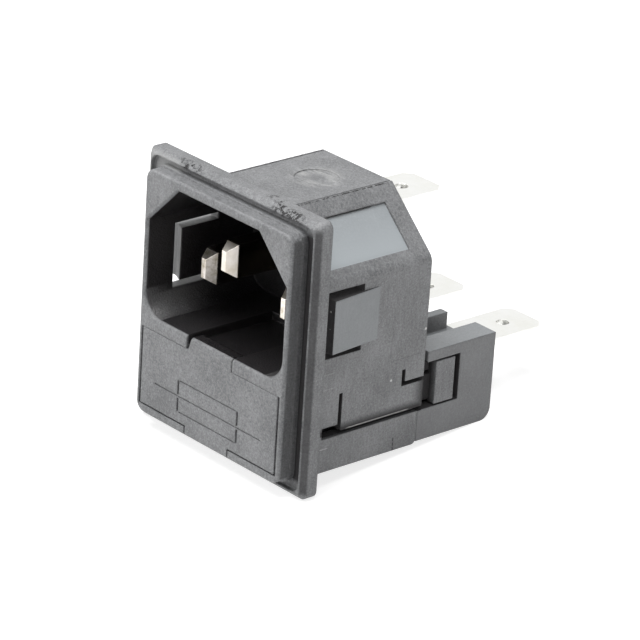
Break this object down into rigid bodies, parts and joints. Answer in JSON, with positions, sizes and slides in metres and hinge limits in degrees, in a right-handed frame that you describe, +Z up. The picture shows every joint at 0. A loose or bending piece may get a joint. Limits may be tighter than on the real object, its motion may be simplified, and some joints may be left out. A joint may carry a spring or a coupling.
{
  "type": "c14 panel inlet socket",
  "caption": "Snap-in panel inlet for an appliance cord, with a keyed connector cavity, a pull-out fuse drawer and quick-connect tabs.",
  "frame": {"origin": "centre of the flange's rear face, the plane that seats on the panel", "axes": "+X to the right seen from the front, +Y to the rear through the panel, +Z up"},
  "size_m": [0.03, 0.0439, 0.0336],
  "materials": {
    "housing_plastic": "fine spark-textured dark grey moulding",
    "carrier_plastic": "fine spark-textured dark grey moulding",
    "drawer_plastic": "fine spark-textured dark grey moulding",
    "pin_metal": "nickel plated, satin",
    "tab_metal": "tin plated, bright",
    "contact_metal": "tin plated, satin",
    "fuse_cap_metal": "nickel plated, bright",
    "fuse_wire_metal": "tinned wire",
    "fuse_glass": "clear tube"
  },
  "bodies": {
    "inlet": {"housing": "housing_plastic", "contact_carrier": "carrier_plastic", "earth_pin": "pin_metal", "earth_tab": "tab_metal", "neutral_pin": "pin_metal", "neutral_front_contact": "contact_metal", "neutral_tab": "tab_metal", "neutral_rear_spring": "contact_metal", "line_pin": "pin_metal", "line_front_contact": "contact_metal", "line_tab": "tab_metal", "line_rear_spring": "contact_metal"},
    "drawer": {"fuse_drawer": "drawer_plastic", "neutral_fuse_glass": "fuse_glass", "neutral_fuse_front_cap": "fuse_cap_metal", "neutral_fuse_rear_cap": "fuse_cap_metal", "neutral_fuse_wire": "fuse_wire_metal", "line_fuse_glass": "fuse_glass", "line_fuse_front_cap": "fuse_cap_metal", "line_fuse_rear_cap": "fuse_cap_metal", "line_fuse_wire": "fuse_wire_metal"}
  },
  "joints": [
    {"name": "drawer_slide", "type": "slide", "parent": "inlet", "child": "drawer", "axis": [0, -1, 0], "range_m": [0, 0.0265]}
  ]
}
